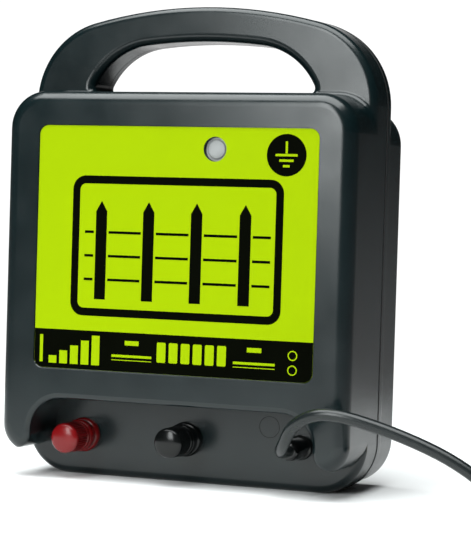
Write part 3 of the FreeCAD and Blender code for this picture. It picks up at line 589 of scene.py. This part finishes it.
# ---- printing on the label, in millimetres ------------------------------------------------
PRINT_THICKNESS = 0.00004
LABEL_CORNER = 5.0
BAND_TOP = 80.7


def arc_points(cx, cz, radius, start, end, steps=10):
    angles = [math.radians(start + (end - start) * i / steps) for i in range(steps + 1)]
    return [(cx + radius * math.cos(t), cz + radius * math.sin(t)) for t in angles]


def circle(cx, cz, radius, steps):
    return arc_points(cx, cz, radius, 0, 360, steps)[:-1]


def round_box(x0, z0, x1, z1, r_low, r_high=None):
    """Outline in millimetres with one radius for the lower corners and one for the upper."""
    top = r_low if r_high is None else r_high
    out = []
    for cx, cz, r, start in ((x1, z0, r_low, -90), (x1, z1, top, 0), (x0, z1, top, 90),
                             (x0, z0, r_low, 180)):
        sx = -1 if cx == x1 else 1
        sz = 1 if cz == z0 else -1
        if r:
            out += arc_points(cx + sx * r, cz + sz * r, r, start, start + 90)
        else:
            out.append((cx, cz))
    return out


def printed(name, outlines, material, layer):
    """Flat print from closed outlines in millimetres; an outline inside another is a hole."""
    curve = bpy.data.curves.new(name, "CURVE")
    curve.dimensions = "2D"
    curve.fill_mode = "BOTH"
    curve.extrude = PRINT_THICKNESS / 2
    for outline in outlines:
        spline = curve.splines.new("POLY")
        spline.points.add(len(outline) - 1)
        for target, (x, z) in zip(spline.points, outline):
            target.co = (x * MM, z * MM, 0, 1)
        spline.use_cyclic_u = True
    flat = link(bpy.data.objects.new(name + "_curve", curve))
    bpy.context.view_layer.update()
    mesh = bpy.data.meshes.new_from_object(flat.evaluated_get(bpy.context.evaluated_depsgraph_get()))
    bpy.data.objects.remove(flat)
    y = label_face - PRINT_THICKNESS * (layer + 0.5)
    upright = Matrix(((1, 0, 0, 0), (0, 0, -1, y), (0, 1, 0, 0), (0, 0, 0, 1)))
    mesh.transform(upright)
    mesh.name = name
    obj = link(bpy.data.objects.new(name, mesh))
    bm = bmesh.new()
    bm.from_mesh(mesh)
    bmesh.ops.remove_doubles(bm, verts=bm.verts, dist=1e-7)
    bmesh.ops.recalc_face_normals(bm, faces=bm.faces)
    bm.to_mesh(mesh)
    bm.free()
    return piece(obj, material, "label_film", "case")


def box_outline(x0, z0, x1, z1):
    return [(x0, z0), (x1, z0), (x1, z1), (x0, z1)]


def print_band():
    """Black band along the foot of the label, with plain lime marks on it."""
    left, right = label_low.x / MM, label_high.x / MM
    foot = label_low.z / MM
    edge = 0.05
    band = round_box(left + edge, foot + edge, right - edge, BAND_TOP, LABEL_CORNER - edge, 0)
    printed("label_band", [band], label_ink, 0)
    marks = [box_outline(left + 3.2, foot + 3.0, left + 5.0, 77.5)]
    stair_pitch, stair_width, stair_rise = 6.3, 4.6, 2.9
    for i in range(5):
        x = left + 8.6 + stair_pitch * i
        marks.append(box_outline(x, foot + 2.6, x + stair_width, foot + 6.6 + stair_rise * i))
    rule_length = 23.0
    for x in (-33.0, 36.0):
        marks.append(box_outline(x, 67.6, x + rule_length, 68.9))
        marks.append(box_outline(x, 65.9, x + rule_length, 66.3))
        marks.append(box_outline(x + 7.5, 74.0, x + 15.5, 76.4))
    box_pitch, box_width, box_corner = 6.8, 5.0, 0.8
    for i in range(6):
        x = -7.0 + box_pitch * i
        marks.append(round_box(x, 66.0, x + box_width, 76.5, box_corner))
    printed("label_band_marks", marks, label_lime, 1)
    rings = [circle(68.5, z, radius, 32) for z in (73.5, 66.0) for radius in (2.6, 2.0)]
    printed("label_band_rings", rings, label_lime, 1)


def print_frame():
    """Rounded frame round a plain picture of a fence."""
    x0, x1, z0, z1 = -58.0, 61.3, 88.6, 162.7
    line = 4.2
    frame_lines = [round_box(x0, z0, x1, z1, 7.3),
                   round_box(x0 + line, z0 + line, x1 - line, z1 - line, 3.4)]
    printed("label_frame", frame_lines, label_ink, 0)
    posts_at = [-41.0 + 27.2 * i for i in range(4)]
    half_post, post_foot, post_shoulder, post_tip = 3.2, 97.5, 144.0, 149.5
    posts = [[(x - half_post, post_foot), (x + half_post, post_foot),
              (x + half_post, post_shoulder), (x, post_tip), (x - half_post, post_shoulder)]
             for x in posts_at]
    printed("label_posts", posts, label_ink, 0)
    half_wire, wire_gap = 0.7, 4.3
    ends = [-50.5] + posts_at + [54.8]
    wires = []
    for z in (108.0, 120.5, 133.0):
        for a, b in zip(ends, ends[1:]):
            x_from = a if a == ends[0] else a + wire_gap
            x_to = b if b == ends[-1] else b - wire_gap
            wires.append(box_outline(x_from, z - half_wire, x_to, z + half_wire))
    printed("label_wires", wires, label_ink, 0)


def print_disc():
    """Round black mark with the common earth symbol: a stem over three bars."""
    cx, cz = 62.0, 175.3
    printed("label_disc", [circle(cx, cz, 10.8, 64)], label_ink, 0)
    line = 0.6
    mark = [box_outline(cx - line, cz + 0.8, cx + line, cz + 7.0)]
    for half, z in ((6.0, 0.0), (3.9, -2.8), (1.8, -5.6)):
        mark.append(box_outline(cx - half, cz + z - line, cx + half, cz + z + line))
    printed("label_disc_mark", mark, label_lime, 1)


print_band()
print_frame()
print_disc()


# ---- lip of the label's recess ------------------------------------------------------------
def make_recess_lip():
    """Bevelled lower edge of the label's recess; its other sides are sunk out of sight."""
    x0, x1, z0, z1 = (v / MM for v in (label_low.x, label_high.x, label_low.z, label_high.z))
    foot_height = 3
    sunk = 0.9
    face = front_low.y / MM
    section = [(0.05, face + 0.42), (0.45, face - 0.05), (0.8, face - 0.03), (0.8, face + 0.3),
               (0.2, face + 0.75)]
    verts = []
    for grow, y in section:
        outline = round_box(x0 - grow, z0 - grow, x1 + grow, z1 + grow, LABEL_CORNER + grow)
        verts += [(x * MM, (y + (sunk if z > z0 + foot_height else 0)) * MM, z * MM)
                  for x, z in outline]
    faces = grid_faces(len(section), len(outline))
    return sharpen(mesh_object("label_recess_lip", verts, faces), 30)


piece(make_recess_lip(), case_plastic, "case_plastic", "case")


# ---- seam between the covers --------------------------------------------------------------
def outermost_loop(node):
    """Points of a CAD ring's outer edge in the plane of its back, in order."""
    mesh = bmesh.new()
    mesh.from_mesh(nodes[node].data)
    mesh.transform(nodes[node].matrix_world)
    bmesh.ops.remove_doubles(mesh, verts=mesh.verts, dist=1e-6)
    back = max(v.co.y for v in mesh.verts)
    links = {}
    for edge in mesh.edges:
        a, b = edge.verts
        flat = [abs(f.normal.y) > 0.9 for f in edge.link_faces]
        if min(a.co.y, b.co.y) > back - 1e-5 and not all(flat):
            links.setdefault(a, []).append(b)
            links.setdefault(b, []).append(a)
    start = max(links, key=lambda v: v.co.x)
    loop = [start]
    here, before = links[start][0], start
    while here is not start:
        loop.append(here)
        ahead = [v for v in links[here] if v is not before]
        here, before = ahead[0], here
    points = [v.co.copy() for v in loop]
    mesh.free()
    return points


SEAM_GAP = 0.0005


def make_seam_bead():
    """Dark soft bead filling the joint between the two covers, a little proud of them."""
    loop = outermost_loop("seam_gasket")
    area = sum(a.x * b.z - b.x * a.z for a, b in zip(loop, loop[1:] + loop[:1]))
    middle = loop[0].y - SEAM_GAP / 2
    section = [(-0.0003, -0.00055), (0.00078, -0.00055), (0.00095, -0.0003), (0.00095, 0.0003),
               (0.00078, 0.00055), (-0.0003, 0.00055)]
    verts = []
    for i, point in enumerate(loop):
        along = (loop[(i + 1) % len(loop)] - loop[i - 1]).normalized()
        out = Vector((along.z, 0, -along.x)) * (1 if area > 0 else -1)
        for grow, y in section:
            spot = point + out * grow
            verts.append((spot.x, middle + y, max(spot.z, 0.0)))
    faces = grid_faces(len(loop), len(section))
    return sharpen(mesh_object("seam_bead", verts, faces), 60)


piece(make_seam_bead(), seal_rubber, "seal_rubber", "case")


# ---- painted shade in the groove round the bay's blanking disc ----------------------------
BLANK_AT = (0.0452, 0.0330)
BLANK_RADIUS = 0.0056
GROOVE_SHADE_WIDTH = 0.00036


def make_blanking_groove_shade():
    """Near-black ring at the bottom of the groove: painted shade standing in for the groove's
    shadow.
    """
    inner, outer = BLANK_RADIUS - GROOVE_SHADE_WIDTH / 2, BLANK_RADIUS + GROOVE_SHADE_WIDTH / 2
    top = BAY_FLOOR + 0.00003
    foot = top + 0.0002
    profile = [(inner, top), (outer, top), (outer, foot), (inner, foot)]
    return sharpen(lathe("blanking_groove_shade", profile, BLANK_AT), 40)


# The dark rubber material paints the groove's shade here; the ring is no part of the case.
piece(make_blanking_groove_shade(), seal_rubber, "seal_rubber", "case")


# ---- floor and light ----------------------------------------------------------------------
FLOOR_RADIUS = 0.55


def make_floor():
    """Round pale table."""
    n = Nodes("floor_paint")
    n.colours(n.noise(1.5, 2), (0.93, 0.93, 0.93), (0.95, 0.95, 0.95))
    n.shader.inputs["Roughness"].default_value = 0.9
    n.shader.inputs["Specular IOR Level"].default_value = 0.1
    rim = [(x, y, 0) for x, y in circle(0, 0, FLOOR_RADIUS, 128)]
    floor = mesh_object("floor", rim, [list(range(len(rim)))])
    paint(floor, n.material)


LIGHT_AIM = Vector((0, 0, 0.12))
LIGHT_COLOUR = (0.96, 1.0, 1.0)


def soft_light(name, at, size, power):
    """Rectangular lamp, out of the camera's sight."""
    data = bpy.data.lights.new(name, "AREA")
    data.shape = "RECTANGLE"
    data.size, data.size_y = size
    data.energy = power
    data.color = LIGHT_COLOUR
    lamp = link(bpy.data.objects.new(name, data))
    lamp.location = at
    lamp.visible_camera = False
    lamp.rotation_euler = (LIGHT_AIM - Vector(at)).to_track_quat("-Z", "Y").to_euler()


ROOM_ABOVE = 0.015
ROOM_BELOW = 0.35
HORIZON = (-0.08, 0.12)
WALL_STRENGTH = 1.1
WALL_FADE = (25, 11)


def make_studio():
    """Dim room, paler below, with a bright wall behind the object as seen from the front."""
    world = bpy.data.worlds.new("studio")
    bpy.context.scene.world = world
    world.use_nodes = True
    tree = world.node_tree
    direction = tree.nodes.new("ShaderNodeTexCoord").outputs["Generated"]

    def part(axis, low_at, high_at):
        """From 0 to 1 as the direction turns towards the axis."""
        along = tree.nodes.new("ShaderNodeVectorMath")
        along.operation = "DOT_PRODUCT"
        along.inputs[1].default_value = axis
        tree.links.new(direction, along.inputs[0])
        step = tree.nodes.new("ShaderNodeMapRange")
        step.interpolation_type = "SMOOTHSTEP"
        step.inputs["From Min"].default_value = low_at
        step.inputs["From Max"].default_value = high_at
        tree.links.new(along.outputs["Value"], step.inputs["Value"])
        return step

    room = part((0, 0, -1), *HORIZON)
    room.inputs["To Min"].default_value = ROOM_ABOVE
    room.inputs["To Max"].default_value = ROOM_BELOW
    t = math.radians(CAMERA_AZIMUTH)
    wall = part((-math.sin(t), math.cos(t), 0), *(math.cos(math.radians(a)) for a in WALL_FADE))
    wall.inputs["To Max"].default_value = WALL_STRENGTH
    total = tree.nodes.new("ShaderNodeMath")
    total.operation = "MAXIMUM"
    tree.links.new(room.outputs["Result"], total.inputs[0])
    tree.links.new(wall.outputs["Result"], total.inputs[1])
    tree.links.new(total.outputs["Value"], tree.nodes["Background"].inputs["Strength"])
    tree.nodes["Background"].inputs["Color"].default_value = (1, 1, 1, 1)


def make_light():
    """The studio and its two lamps, one in front on the left and one overhead."""
    make_studio()
    soft_light("front_light", (-0.22, -1.15, 0.55), (0.34, 0.84), 10.5)
    soft_light("top_light", (-0.1, -0.32, 1.4), (1.6, 1.2), 46)
    bpy.context.scene.view_settings.view_transform = "Standard"


make_floor()
make_light()
